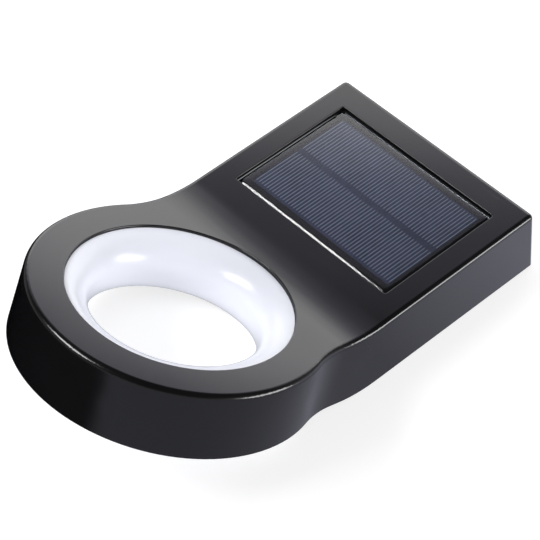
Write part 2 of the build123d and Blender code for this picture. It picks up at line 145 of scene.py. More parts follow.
def spread(tree, factor, low, high, start=0.3, end=0.7, curve="LINEAR"):
    keys = {"Value": factor, "From Min": start, "From Max": end, "To Min": low, "To Max": high}
    return addNode(tree, "ShaderNodeMapRange", keys, interpolation_type=curve).outputs["Result"]


def noise(tree, place, scale, detail=3.0):
    keys = {"Vector": place, "Scale": scale, "Detail": detail, "Roughness": 0.5}
    return addNode(tree, "ShaderNodeTexNoise", keys).outputs["Fac"]


def stretch(tree, place, scale):
    return addNode(tree, "ShaderNodeMapping", {"Vector": place, "Scale": scale}).outputs["Vector"]


def bump(tree, height, distance, before=None):
    keys = {"Height": height, "Distance": distance, "Strength": 1.0}
    if before is not None:
        keys["Normal"] = before
    return addNode(tree, "ShaderNodeBump", keys).outputs["Normal"]


def startMaterial(name):
    material = bpy.data.materials.new(name)
    material.use_nodes = True
    tree = material.node_tree
    tree.nodes.clear()
    place = addNode(tree, "ShaderNodeTexCoord").outputs["Object"]
    return material, tree, place


def endMaterial(tree, shader):
    addNode(tree, "ShaderNodeOutputMaterial", {"Surface": shader})


def principled(tree, keys):
    return addNode(tree, "ShaderNodeBsdfPrincipled", keys).outputs["BSDF"]


# A plain moulded, rolled or pressed finish: a colour that clouds, roughness that varies, fine grain
roughPatches = 2.3  # patches of roughness to each cloud of colour


def plainFinish(name, look):
    material, tree, place = startMaterial(name)
    cloud = noise(tree, place, look["cloud"])
    grainPlace = stretch(tree, place, look["stretch"]) if "stretch" in look else place
    keys = {
        "Base Color": clouded(tree, cloud, look),
        "Roughness": spread(tree, noise(tree, place, look["cloud"] * roughPatches), *look["rough"]),
        "Normal": bump(tree, noise(tree, grainPlace, look["grain"], 2.0), look["depth"]),
        "Metallic": look.get("metal", 0.0),
        "Specular IOR Level": look.get("specular", 0.5),
    }
    endMaterial(tree, principled(tree, keys))
    return material


# Body: satin black ABS with moulded waviness, fine grain, faint scuffs and dust
bodyLook = {
    "dark": (0.0035, 0.0035, 0.0040),
    "light": (0.0055, 0.0055, 0.0062),
    "cloud": 26.0,
    "cloudRange": (0.3, 0.7),
    "rough": (0.15, 0.22),
    "ior": 1.52,
    "peel": 520.0,  # waviness
    "peelDepth": 0.0015 * mm,
    "grain": 5200.0,
    "grainDepth": 0.0016 * mm,
    "patch": 44.2,  # scuffs and dust lie in patches
    "scuff": (30.0, 900.0, 400.0),  # drawn out along X
    "scuffRange": (0.40, 0.50),
    "scuffRough": 0.10,
    "speck": 1500.0,
    "dustRange": (0.46, 0.50),
    "dust": (0.028, 0.028, 0.030),
}
coverLook = {**bodyLook, "peelDepth": 0.0090 * mm, "grainDepth": 0.0096 * mm}  # coarser at the back


def bodyBlack(name, look):
    material, tree, place = startMaterial(name)
    cloud = noise(tree, place, look["cloud"], 4.0)
    patch = noise(tree, place, look["patch"])
    scuffs = calc(tree, "MULTIPLY", noise(tree, stretch(tree, place, look["scuff"]), 1.0, 2.0), patch)
    scuffed = spread(tree, scuffs, 0.0, look["scuffRough"], *look["scuffRange"])
    specks = calc(tree, "MULTIPLY", noise(tree, place, look["speck"], 1.0), patch)
    dusty = spread(tree, specks, 0.0, 1.0, *look["dustRange"])
    peel = bump(tree, noise(tree, place, look["peel"], 2.0), look["peelDepth"])
    keys = {
        "Base Color": blendColour(tree, dusty, clouded(tree, cloud, look), look["dust"]),
        "Roughness": calc(tree, "ADD", spread(tree, cloud, *look["rough"]), scuffed),
        "Normal": bump(tree, noise(tree, place, look["grain"], 2.0), look["grainDepth"], peel),
        "IOR": look["ior"],
    }
    endMaterial(tree, principled(tree, keys))
    return material


# Opal ring: glossy milky acrylic, with a faint painted glow that stands in for a little of the daylight
# that comes through its wall
opalLook = {
    "dark": (0.85, 0.867, 0.948),
    "light": (0.86, 0.877, 0.953),
    "cloud": 45.0,
    "rough": (0.22, 0.25),
    "ior": 1.49,
    "wave": 160.0,
    "waveDepth": 0.02 * mm,
    "milk": 0.25,
    "milkDepth": 2.5 * mm,
    # painted glow: the ring emits a faint cool light of its own, standing in for daylight through its
    # wall
    "glow": (0.80, 0.86, 1.0),
    "paintedGlowStrength": 0.03,
}


def opalWhite(name, look):
    material, tree, place = startMaterial(name)
    cloud = noise(tree, place, look["cloud"])
    keys = {
        "Base Color": clouded(tree, cloud, look),
        "Roughness": spread(tree, cloud, *look["rough"]),
        "Normal": bump(tree, noise(tree, place, look["wave"], 2.0), look["waveDepth"]),
        "Subsurface Weight": look["milk"],
        "Subsurface Radius": (1.0, 1.0, 1.0),
        "Subsurface Scale": look["milkDepth"],
        # painted glow: emission that lifts the white, though the ring is no lamp
        "Emission Color": (*look["glow"], 1),
        "Emission Strength": look["paintedGlowStrength"],
        "IOR": look["ior"],
    }
    endMaterial(tree, principled(tree, keys))
    return material


# Cells: silicon with a blue bloom; the resin wets them, so they have no shine of their own
cellLook = {
    # where in the cloud, and the colour there
    "colours": (
        (0.30, (0.021, 0.026, 0.050)),
        (0.55, (0.030, 0.036, 0.068)),
        (0.75, (0.044, 0.041, 0.076)),
    ),
    "cloud": 70.0,
    "rough": (0.32, 0.48),
    "flake": 420.0,
    "flakeContrast": 0.25,
    "grain": 2600.0,
    "grainDepth": 0.002 * mm,
}


def siliconBlue(name, look):
    material, tree, place = startMaterial(name)
    cloud = noise(tree, place, look["cloud"], 4.0)
    flakes = addNode(tree, "ShaderNodeTexVoronoi", {"Vector": place, "Scale": look["flake"]})
    half = look["flakeContrast"] / 2
    shade = calc(tree, "ADD", cloud, spread(tree, flakes.outputs["Color"], -half, half, 0.0, 1.0))
    keys = {
        "Base Color": ramp(tree, shade, look["colours"]),
        "Roughness": spread(tree, cloud, *look["rough"]),
        "Specular IOR Level": 0.0,
        "Normal": bump(tree, noise(tree, place, look["grain"]), look["grainDepth"]),
    }
    endMaterial(tree, principled(tree, keys))
    return material


# Resin: clear from outside and inside, with its mirror on the outside only
resinLook = {
    "tint": (0.93, 0.95, 0.97),
    "cloud": 110.0,
    "wave": 70.0,
    "waveDepth": 0.0002 * mm,
    "rough": (0.08, 0.10),
    "ior": 1.68,
}


def clearResin(name, look):
    material, tree, place = startMaterial(name)
    rough = spread(tree, noise(tree, place, look["cloud"]), *look["rough"])
    level = bump(tree, noise(tree, place, look["wave"], 2.0), look["waveDepth"])
    through = addNode(tree, "ShaderNodeBsdfTransparent", {"Color": (*look["tint"], 1)})
    gloss = addNode(tree, "ShaderNodeBsdfAnisotropic", {"Roughness": rough, "Normal": level})
    edge = addNode(tree, "ShaderNodeFresnel", {"IOR": look["ior"], "Normal": level}).outputs[0]
    inside = addNode(tree, "ShaderNodeNewGeometry").outputs["Backfacing"]
    mirror = calc(tree, "MULTIPLY", edge, calc(tree, "SUBTRACT", 1.0, inside))
    mix = {0: mirror, 1: through.outputs[0], 2: gloss.outputs[0]}
    endMaterial(tree, addNode(tree, "ShaderNodeMixShader", mix).outputs["Shader"])
    return material


# What the other pieces are made of
finishes = {
    "blackSolder": {
        "specular": 0.0,  # wetted by the resin over it, so it has no shine of its own
        "dark": (0.003, 0.003, 0.0035),
        "light": (0.006, 0.006, 0.007),
        "cloud": 90.0,
        "grain": 2400.0,
        "depth": 0.004 * mm,
        "rough": (0.30, 0.42),
    },
    "silverPaste": {
        "specular": 0.0,
        "dark": (0.21, 0.24, 0.30),
        "light": (0.26, 0.29, 0.37),
        "cloud": 300.0,
        "grain": 4000.0,
        "depth": 0.004 * mm,
        "rough": (0.45, 0.60),
    },
    "greyFoam": {
        "dark": (0.045, 0.045, 0.047),
        "light": (0.075, 0.075, 0.078),
        "cloud": 420.0,
        "grain": 1500.0,
        "depth": 0.12 * mm,
        "rough": (0.85, 0.95),
    },
    "sealRubber": {
        "dark": (0.018, 0.018, 0.019),
        "light": (0.032, 0.032, 0.034),
        "cloud": 150.0,
        "grain": 2200.0,
        "depth": 0.02 * mm,
        "rough": (0.55, 0.75),
    },
    "buttonRubber": {
        "dark": (0.020, 0.020, 0.022),
        "light": (0.034, 0.034, 0.037),
        "cloud": 190.0,
        "grain": 3000.0,
        "depth": 0.014 * mm,
        "rough": (0.48, 0.62),
    },
    "greenSolder": {
        "dark": (0.010, 0.075, 0.028),
        "light": (0.018, 0.125, 0.048),
        "cloud": 160.0,
        "grain": 900.0,
        "depth": 0.012 * mm,
        "rough": (0.26, 0.38),
    },
    "whiteSolder": {
        "dark": (0.70, 0.70, 0.66),
        "light": (0.80, 0.80, 0.77),
        "cloud": 120.0,
        "grain": 900.0,
        "depth": 0.012 * mm,
        "rough": (0.32, 0.45),
    },
    "chipEpoxy": {
        "dark": (0.016, 0.016, 0.017),
        "light": (0.027, 0.027, 0.029),
        "cloud": 700.0,
        "grain": 5000.0,
        "depth": 0.008 * mm,
        "rough": (0.55, 0.70),
    },
    "canAluminium": {
        "dark": (0.60, 0.60, 0.61),
        "light": (0.76, 0.76, 0.77),
        "cloud": 300.0,
        "grain": 700.0,
        "stretch": (1.0, 1.0, 9.0),
        "depth": 0.004 * mm,
        "rough": (0.25, 0.40),
        "metal": 1.0,
    },
    "coilCopper": {
        "dark": (0.42, 0.13, 0.06),
        "light": (0.62, 0.23, 0.11),
        "cloud": 350.0,
        "grain": 260.0,
        "stretch": (0.4, 0.4, 14.0),
        "depth": 0.05 * mm,
        "rough": (0.22, 0.36),
        "metal": 1.0,
    },
    "zincSteel": {
        "dark": (0.42, 0.43, 0.45),
        "light": (0.62, 0.63, 0.65),
        "cloud": 420.0,
        "grain": 3200.0,
        "depth": 0.006 * mm,
        "rough": (0.26, 0.44),
        "metal": 1.0,
    },
    "springSteel": {
        "dark": (0.52, 0.51, 0.48),
        "light": (0.70, 0.69, 0.66),
        "cloud": 240.0,
        "grain": 700.0,
        "stretch": (1.0, 1.0, 8.0),
        "depth": 0.005 * mm,
        "rough": (0.20, 0.34),
        "metal": 1.0,
    },
    "holderBlack": {
        "dark": (0.012, 0.012, 0.013),
        "light": (0.022, 0.022, 0.023),
        "cloud": 130.0,
        "grain": 2600.0,
        "depth": 0.014 * mm,
        "rough": (0.42, 0.58),
    },
    "switchWhite": {
        "dark": (0.62, 0.62, 0.59),
        "light": (0.74, 0.74, 0.71),
        "cloud": 260.0,
        "grain": 3000.0,
        "depth": 0.006 * mm,
        "rough": (0.34, 0.46),
    },
    "leadSleeve": {
        "dark": (0.36, 0.020, 0.018),
        "light": (0.50, 0.035, 0.028),
        "cloud": 420.0,
        "grain": 1600.0,
        "depth": 0.010 * mm,
        "rough": (0.36, 0.50),
    },
    "phosphor": {
        "dark": (0.72, 0.56, 0.12),
        "light": (0.86, 0.70, 0.22),
        "cloud": 900.0,
        "grain": 4200.0,
        "depth": 0.010 * mm,
        "rough": (0.28, 0.42),
    },
}
made = {name: plainFinish(name, look) for name, look in finishes.items()}
made["bodyBlack"] = bodyBlack("bodyBlack", bodyLook)
made["coverBlack"] = bodyBlack("coverBlack", coverLook)
made["opalWhite"] = opalWhite("opalWhite", opalLook)
made["siliconBlue"] = siliconBlue("siliconBlue", cellLook)
made["clearResin"] = clearResin("clearResin", resinLook)

# Battery sleeve: a green wrap with a plain dark band at one end and bare metal at both
wrapLook = {
    "metal": (0.62, 0.62, 0.63),
    "wrap": (0.05, 0.30, 0.10),
    "band": (0.03, 0.03, 0.035),
    # shares of the cell's length between which each colour gives way to the next
    "wrapStart": (0.035, 0.04),
    "bandStart": (0.78, 0.785),
    "metalStart": (0.985, 0.99),
    "soil": (0.02, 0.02, 0.02),
    "soilScale": 200.0,
    "soiled": 0.25,
    "rough": (0.25, 0.38),
    "wave": 300.0,
    "waveDepth": 0.02 * mm,
}


def batteryWrap(name, look):
    material, tree, place = startMaterial(name)
    low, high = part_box("battery_cell")
    along = addNode(tree, "ShaderNodeSeparateXYZ", {"Vector": place}).outputs["X"]
    share = spread(tree, along, 0.0, 1.0, low.x, high.x)
    stops = [(0.0, look["metal"])]
    for before, after in (("metal", "wrap"), ("wrap", "band"), ("band", "metal")):
        start, end = look[after + "Start"]
        stops += [(start, look[before]), (end, look[after])]
    soil = noise(tree, place, look["soilScale"])
    soiled = spread(tree, soil, 0.0, look["soiled"])
    keys = {
        "Base Color": blendColour(tree, soiled, ramp(tree, share, stops), look["soil"]),
        "Roughness": spread(tree, soil, *look["rough"]),
        "Normal": bump(tree, noise(tree, place, look["wave"]), look["waveDepth"]),
    }
    endMaterial(tree, principled(tree, keys))
    return material


made["batteryWrap"] = batteryWrap("batteryWrap", wrapLook)
print("materials made:", len(made))

# CAD nodes that stay, with what each is made of
nodeFinish = {
    "panel_board": "blackSolder",
    "solar_cells": "siliconBlue",
    "panel_pad": "greyFoam",
    "cover_gasket": "sealRubber",
    "tube_seal": "sealRubber",
    "button_seal": "sealRubber",
    "led_board": "whiteSolder",
    "leds": "phosphor",
    "control_board": "greenSolder",
    "control_chip": "chipEpoxy",
    "boost_coil": "coilCopper",
    "capacitor": "canAluminium",
    "switch_body": "switchWhite",
    "switch_plunger": "switchWhite",
    "battery_holder": "holderBlack",
    "battery_cell": "batteryWrap",
    "positive_contact": "springSteel",
    "negative_contact": "springSteel",
    "panel_leads": "leadSleeve",
    "led_leads": "leadSleeve",
    "battery_leads": "leadSleeve",
}

for nodeName, finish in nodeFinish.items():
    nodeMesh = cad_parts[nodeName].data
    nodeMesh.materials.clear()
    nodeMesh.materials.append(made[finish])


# Moulded shells: copies of the CAD meshes, merged and shaded as one skin
shells = {
    "housingShell": {
        "node": "front_housing",
        "finish": "bodyBlack",
        "slot": "housing_black",
        "body": "case",
        "crease": 24,  # degrees from which an edge stays sharp
    },
    "coverShell": {
        "node": "back_cover",
        "finish": "coverBlack",
        "slot": "housing_black",
        "body": "case",
        "crease": 24,
    },
    "buttonCap": {
        "node": "power_button",
        "finish": "buttonRubber",
        "slot": "button_rubber",
        "body": "button",
        "crease": 30,
    },
}


def smoothCopy(name, shell):
    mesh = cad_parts[shell["node"]].data.copy()
    mesh.name = name
    joined = bmesh.new()
    joined.from_mesh(mesh)
    bmesh.ops.remove_doubles(joined, verts=joined.verts, dist=weldDistance)
    joined.to_mesh(mesh)
    joined.free()
    mesh.materials.clear()
    mesh.materials.append(made[shell["finish"]])
    smoothShade(mesh, shell["crease"])
    piece = addObject(name, mesh)
    weighted = piece.modifiers.new("even", "WEIGHTED_NORMAL")
    weighted.keep_sharp = True
    weighted.weight = 100
    seat(piece, shell["slot"], shell["body"], shell["node"])


for shellName, shell in shells.items():
    smoothCopy(shellName, shell)
print("shells made:", len(shells))


# Geometry Nodes helpers
grownCrease = 35  # degrees


def newTree(name, sizes):
    tree = bpy.data.node_groups.new(name, "GeometryNodeTree")
    tree.interface.new_socket("Geometry", in_out="INPUT", socket_type="NodeSocketGeometry")
    for label, value in sizes.items():
        kind = "NodeSocketInt" if isinstance(value, int) else "NodeSocketFloat"
        tree.interface.new_socket(label, in_out="INPUT", socket_type=kind)
    tree.interface.new_socket("Geometry", in_out="OUTPUT", socket_type="NodeSocketGeometry")
    return tree, addNode(tree, "NodeGroupInput").outputs


def endTree(tree, geometry, finish):
    real = addNode(tree, "GeometryNodeRealizeInstances", {"Geometry": geometry})
    keys = {"Geometry": real.outputs[0], "Material": made[finish]}
    painted = addNode(tree, "GeometryNodeSetMaterial", keys)
    addNode(tree, "NodeGroupOutput", {0: painted.outputs[0]})


# Runs a tree on a mesh with the sizes given, and leaves the result as a plain mesh
def grow(name, tree, sizes, start=None, place=None):
    seed = addObject(name + "Seed", start or bpy.data.meshes.new(name + "Start"))
    nodes = seed.modifiers.new("grow", "NODES")
    nodes.node_group = tree
    sockets = {i.name: i.identifier for i in tree.interface.items_tree if i.in_out == "INPUT"}
    for label, value in sizes.items():
        nodes[sockets[label]] = value
    mesh = evaluatedMesh(seed)
    bpy.data.objects.remove(seed)
    mesh.name = name
    mesh.transform(place or Matrix.Identity(4))
    outward = bmesh.new()
    outward.from_mesh(mesh)
    bmesh.ops.recalc_face_normals(outward, faces=outward.faces)
    outward.to_mesh(mesh)
    outward.free()
    smoothShade(mesh, grownCrease)
    return addObject(name, mesh)


# Opal ring: the bulge, its hollow and both flanges swept round the opening
opalRing = {
    "Rim": 39.8 * mm,
    "Throat": 29.5 * mm,
    "Wall": 1.8 * mm,
    "Flange": 43.0 * mm,
    "Low Rim": 0.9 * mm,  # all heights over the ring's back
    "High Rim": 24.6 * mm,
    "Low Flange": 3.5 * mm,
    "High Flange": 23.1 * mm,
    "Flange Thickness": 1.2 * mm,
    "Turns": 192,
    "Arc Points": 28,
}
opalWeld = 0.001 * mm  # where the profile's pieces meet


def opalTree():
    tree, size = newTree("opalSweep", opalRing)

    def point(radius, height):
        across = calc(tree, "SUBTRACT", radius, size["Rim"])
        down = calc(tree, "MULTIPLY", height, -1.0)  # the sweep turns the profile's Y downwards
        return addNode(tree, "ShaderNodeCombineXYZ", {"X": across, "Y": down}).outputs[0]

    def arc(start, middle, end):
        keys = {"Resolution": size["Arc Points"], "Start": start, "Middle": middle, "End": end}
        return addNode(tree, "GeometryNodeCurveArc", keys, mode="POINTS").outputs[0]

    def line(start, end):
        keys = {"Start": start, "End": end}
        return addNode(tree, "GeometryNodeCurvePrimitiveLine", keys).outputs[0]

    def midway(first, second):
        return calc(tree, "MULTIPLY", calc(tree, "ADD", first, second), 0.5)

    hollowLow = calc(tree, "ADD", size["Low Flange"], size["Flange Thickness"])
    hollowHigh = calc(tree, "SUBTRACT", size["High Flange"], size["Flange Thickness"])
    inner = calc(tree, "ADD", size["Throat"], size["Wall"])
    front = [
        point(size["Rim"], size["High Rim"]),
        point(size["Rim"], size["High Flange"]),
        point(size["Flange"], size["High Flange"]),
        point(size["Flange"], hollowHigh),
        point(size["Rim"], hollowHigh),
    ]
    back = [
        point(size["Rim"], hollowLow),
        point(size["Flange"], hollowLow),
        point(size["Flange"], size["Low Flange"]),
        point(size["Rim"], size["Low Flange"]),
        point(size["Rim"], size["Low Rim"]),
    ]
    throat = point(size["Throat"], midway(size["Low Rim"], size["High Rim"]))
    hollow = point(inner, midway(hollowLow, hollowHigh))
    curves = [arc(back[-1], throat, front[0]), arc(front[-1], hollow, back[0])]
    for corners in (front, back):
        curves += [line(start, end) for start, end in zip(corners, corners[1:])]
    profile = addNode(tree, "GeometryNodeJoinGeometry")
    for curve in curves:
        tree.links.new(curve, profile.inputs[0])
    circle = {"Resolution": size["Turns"], "Radius": size["Rim"]}
    rail = addNode(tree, "GeometryNodeCurvePrimitiveCircle", circle).outputs[0]
    level = addNode(tree, "GeometryNodeSetCurveNormal", {"Curve": rail}, mode="Z_UP").outputs[0]
    sweep = {"Curve": level, "Profile Curve": profile.outputs[0]}
    swept = addNode(tree, "GeometryNodeCurveToMesh", sweep).outputs[0]
    closed = addNode(tree, "GeometryNodeMergeByDistance", {"Geometry": swept, "Distance": opalWeld})
    endTree(tree, closed.outputs[0], "opalWhite")
    return tree


opal = grow("opalTube", opalTree(), opalRing, place=ring)
seat(opal, "opal_white", "case", "opal_ring")
print("opal ring made:", len(opal.data.polygons), "faces")

# Clear resin: a flat top that rolls down to its edge
resinShape = {
    # millimetres in from the edge, the top's slope there in degrees
    "slopes": ((0.0, 33), (0.85, 33), (1.1, 3), (5.0, 0)),
    "stretchSteps": 6,
    "corner": 1.6 * mm,  # at the edge
    "cornerLoss": 0.2,  # how much a corner tightens with each length inwards
    "leastCorner": 0.4 * mm,
    "cornerSteps": 10,
    "foot": 0.02 * mm,  # its lowest loop over the cells' tops
    "crease": 50,
}


# How far the top has risen over its edge, at each step inwards
def resinProfile(shape):
    profile = [(0.0, 0.0)]
    steps = shape["stretchSteps"]
    for (start, first), (end, last) in zip(shape["slopes"], shape["slopes"][1:]):
        step = (end - start) / steps * mm
        for i in range(steps):
            slope = math.radians(first + (last - first) * (i + 0.5) / steps)
            inset, rise = profile[-1]
            profile.append((inset + step, rise + step * math.tan(slope)))
    return profile


def resinLoop(width, length, corner, steps):
    points = []
    for turn, (sideX, sideY) in enumerate(((1, 1), (-1, 1), (-1, -1), (1, -1))):
        for step in range(steps + 1):
            angle = (turn + step / steps) * math.pi / 2
            x = sideX * (width / 2 - corner) + corner * math.cos(angle)
            y = sideY * (length / 2 - corner) + corner * math.sin(angle)
            points.append((x, y))
    return points


def resinCover(shape):
    low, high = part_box("panel_resin")
    middle = (low + high) / 2
    profile = resinProfile(shape)
    edge = high.z - profile[-1][1]
    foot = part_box("solar_cells")[1].z + shape["foot"]
    cover = bmesh.new()
    loops = []
    for inset, z in [(0.0, foot)] + [(inset, edge + rise) for inset, rise in profile]:
        width, length = (side - 2 * inset for side in (high - low)[:2])
        corner = max(shape["corner"] - inset * shape["cornerLoss"], shape["leastCorner"])
        outline = resinLoop(width, length, corner, shape["cornerSteps"])
        loops.append([cover.verts.new((middle.x + x, middle.y + y, z)) for x, y in outline])
    for below, above in zip(loops, loops[1:]):
        for i in range(len(below)):
            j = (i + 1) % len(below)
            cover.faces.new((below[i], below[j], above[j], above[i]))
    cover.faces.new(loops[-1])
    cover.faces.new(list(reversed(loops[0])))
    bmesh.ops.recalc_face_normals(cover, faces=cover.faces)
    mesh = finishMesh(cover, "resinCover")
    mesh.materials.append(made["clearResin"])
    smoothShade(mesh, shape["crease"])
    return addObject("resinCover", mesh)


resin = resinCover(resinShape)
seat(resin, "clear_resin", "case", "panel_resin")
print("resin made:", len(resin.data.polygons), "faces")

# Silver fingers on both rows of cells, one box for each
fingerRows = {
    "Count": 50,
    "Span": 67.7 * mm,  # first finger to last
    "Rows": 2,
    "Row Step": 23.25 * mm,
    "Width": 0.25 * mm,
    "Length": 20.45 * mm,
    "Height": 0.02 * mm,
}
fingersForward = 0.3 * mm  # their middle from the cells' middle


def fingerTree():
    tree, size = newTree("fingerRows", fingerRows)
    rows = {
        "Size X": size["Span"],
        "Size Y": size["Row Step"],
        "Vertices X": size["Count"],
        "Vertices Y": size["Rows"],
    }
    spots = addNode(tree, "GeometryNodeMeshGrid", rows).outputs["Mesh"]
    sides = {"X": size["Width"], "Y": size["Length"], "Z": size["Height"]}
    shape = addNode(tree, "ShaderNodeCombineXYZ", sides).outputs[0]
    bar = addNode(tree, "GeometryNodeMeshCube", {"Size": shape}).outputs["Mesh"]
    placed = addNode(tree, "GeometryNodeInstanceOnPoints", {"Points": spots, "Instance": bar})
    endTree(tree, placed.outputs[0], "silverPaste")
    return tree


cellLow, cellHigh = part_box("solar_cells")
cellMiddle = (cellLow + cellHigh) / 2
onCells = Matrix.Translation((cellMiddle.x, cellMiddle.y + fingersForward, cellHigh.z))
fingers = grow("cellFingers", fingerTree(), fingerRows, place=onCells)
seat(fingers, "cell_blue", "case")

# The bare strip between the two rows of cells, level with their tops
joiningShape = {"width": 2.6 * mm, "thickness": 0.2 * mm}


def joiningStrip(shape):
    size = (cellHigh.x - cellLow.x, shape["width"], shape["thickness"], 1)
    middle = Vector((cellMiddle.x, cellMiddle.y, cellHigh.z - shape["thickness"] / 2))
    strip = bmesh.new()
    bmesh.ops.create_cube(strip, size=1.0, matrix=Matrix.Translation(middle) @ Matrix.Diagonal(size))
    mesh = finishMesh(strip, "joiningStrip")
    mesh.materials.append(made["siliconBlue"])
    return addObject("joiningStrip", mesh)


seat(joiningStrip(joiningShape), "cell_blue", "case")
print("panel made:", len(fingers.data.polygons), "finger faces")

# Screws: pan heads with a cross recess
coverScrew = {
    "head": 2.3 * mm,
    "headHeight": 1.7 * mm,
    "crown": 0.45 * mm,
    "shank": 1.1 * mm,
    "length": 10.0 * mm,
    "recessReach": 1.35 * mm,
    "recessWidth": 0.5 * mm,
    "recessDepth": 1.0 * mm,
}
boardScrew = {
    "head": 1.7 * mm,
    "headHeight": 1.0 * mm,
    "crown": 0.3 * mm,
    "shank": 0.75 * mm,
    "length": 5.0 * mm,
    "recessReach": 1.0 * mm,
    "recessWidth": 0.36 * mm,
    "recessDepth": 0.6 * mm,
}
screwForm = {
    "tip": 0.5,  # share of the shank's radius
    "shoulder": 0.92,  # share of the length, from where the tip narrows
    "around": 32,
    "crownSteps": 5,
    "spin": 0.7,  # radians from one screw's cross to the next one's
    "leaning": 1.05,  # a screw leans where its box is longer than wide by this
}


# One screw's outline, its head's underside on z = 0 and its shank down -Z
def screwProfile(size):
    shank, head = size["shank"], size["head"]
    profile = [(0.0, -size["length"]), (shank * screwForm["tip"], -size["length"])]
    profile += [(shank, -size["length"] * screwForm["shoulder"]), (shank, 0.0), (head, 0.0)]
    for step in range(screwForm["crownSteps"] + 1):
        angle = step / screwForm["crownSteps"] * math.pi / 2
        radius = head - size["crown"] * (1 - math.cos(angle))
        profile.append((radius, size["headHeight"] - size["crown"] * (1 - math.sin(angle))))
    return profile + [(0.0, size["headHeight"])]


def turnedMesh(name, profile, around):
    turned = bmesh.new()
    verts = [turned.verts.new((radius, 0, z)) for radius, z in profile]
    edges = [turned.edges.new(pair) for pair in zip(verts, verts[1:])]
    circle = {"axis": (0, 0, 1), "cent": (0, 0, 0), "angle": math.tau, "steps": around}
    bmesh.ops.spin(turned, geom=verts + edges, **circle)
    bmesh.ops.remove_doubles(turned, verts=turned.verts, dist=weldDistance)
    bmesh.ops.recalc_face_normals(turned, faces=turned.faces)
    return finishMesh(turned, name)


def cutCross(name, screw, size):
    arm = Matrix.Diagonal((2 * size["recessReach"], size["recessWidth"], 2 * size["recessDepth"], 1))
    top = Matrix.Translation((0, 0, size["headHeight"]))
    cutter = bmesh.new()
    for turn in (0.0, math.pi / 2):
        bmesh.ops.create_cube(cutter, size=1.0, matrix=top @ Matrix.Rotation(turn, 4, "Z") @ arm)
    cross = addObject(name + "Cross", finishMesh(cutter, name + "Cross"))
    whole = addObject(name + "Whole", screw)
    cut = whole.modifiers.new("cross", "BOOLEAN")
    cut.object = cross
    cut.use_self = True
    done = evaluatedMesh(whole)
    for item in (cross, whole):
        bpy.data.objects.remove(item)
    return done


# The points of each separate solid in a mesh
def looseSolids(mesh):
    loose = bmesh.new()
    loose.from_mesh(mesh)
    bmesh.ops.remove_doubles(loose, verts=loose.verts, dist=weldDistance)
    loose.verts.ensure_lookup_table()
    seen, solids = set(), []
    for start in loose.verts:
        if start.index in seen:
            continue
        points, waiting = [], [start]
        seen.add(start.index)
        while waiting:
            vert = waiting.pop()
            points.append(vert.co.copy())
            for edge in vert.link_edges:
                other = edge.other_vert(vert)
                if other.index not in seen:
                    seen.add(other.index)
                    waiting.append(other)
        solids.append(points)
    loose.free()
    return solids


# Each screw's middle in a CAD node, and how far it leans with the ring
def screwSpots(node):
    spots = []
    for points in looseSolids(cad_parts[node].data):
        low = Vector([min(point[i] for point in points) for i in range(3)])
        high = Vector([max(point[i] for point in points) for i in range(3)])
        leaning = high.y - low.y > screwForm["leaning"] * (high.x - low.x)
        spots.append(((low + high) / 2, ringPlace["bend"] if leaning else 0.0))
    return spots


def screwTree(name, screw):
    tree, given = newTree(name, {})
    lean = addNode(tree, "GeometryNodeInputNamedAttribute", {"Name": "lean"}, data_type="FLOAT_VECTOR")
    turned = addNode(tree, "FunctionNodeEulerToRotation", {0: lean.outputs[0]}).outputs[0]
    source = addNode(tree, "GeometryNodeObjectInfo", {"Object": screw}).outputs["Geometry"]
    keys = {"Points": given["Geometry"], "Instance": source, "Rotation": turned}
    placed = addNode(tree, "GeometryNodeInstanceOnPoints", keys)
    endTree(tree, placed.outputs[0], "zincSteel")
    return tree


def screwSet(name, node, size, headDown):
    turned = turnedMesh(name + "Turned", screwProfile(size), screwForm["around"])
    single = addObject(name + "Single", cutCross(name, turned, size))
    offset = (size["length"] - size["headHeight"]) / 2
    points, leans = [], []
    for i, (middle, lean) in enumerate(screwSpots(node)):
        along = Vector((0, math.sin(lean), math.cos(lean)))
        points.append(middle + along * (-offset if headDown else offset))
        leans += [math.pi - lean if headDown else -lean, 0.0, screwForm["spin"] * i]
    start = bpy.data.meshes.new(name + "Spots")
    start.from_pydata(points, [], [])
    start.attributes.new("lean", "FLOAT_VECTOR", "POINT").data.foreach_set("vector", leans)
    piece = grow(name, screwTree(name + "Tree", single), {}, start=start)
    bpy.data.objects.remove(single)
    seat(piece, "screw_steel", "case", node)


screwSet("crossScrews", "cover_screws", coverScrew, headDown=True)
screwSet("boardCrossScrews", "board_screws", boardScrew, headDown=False)
print("screws made")

# The photo's camera: azimuth from -Y towards +X, as seen from the point it aims at
photoView = {
    "azimuth": 46.858,
    "elevation": 48.042,
    "roll": 0.015,
    "distance": 0.86832,
    "aim": (-13.82 * mm, 21.05 * mm, 0.0),
    "lens": 160.0,
    "sensor": 36.0,
    "clip": (0.01, 20.0),
}


def addCamera(view):
    azimuth, elevation = math.radians(view["azimuth"]), math.radians(view["elevation"])
    flat = math.cos(elevation)
    back = Vector((math.sin(azimuth) * flat, -math.cos(azimuth) * flat, math.sin(elevation)))
    data = bpy.data.cameras.new("camera")
    data.lens, data.sensor_width = view["lens"], view["sensor"]
    data.clip_start, data.clip_end = view["clip"]
    camera = addObject("camera", data)
    facing = back.to_track_quat("Z", "Y").to_matrix().to_4x4()
    roll = Matrix.Rotation(math.radians(view["roll"]), 4, "Z")
    stand = Matrix.Translation(Vector(view["aim"]) + back * view["distance"])
    camera.matrix_world = stand @ facing @ roll
    bpy.context.scene.camera = camera


addCamera(photoView)

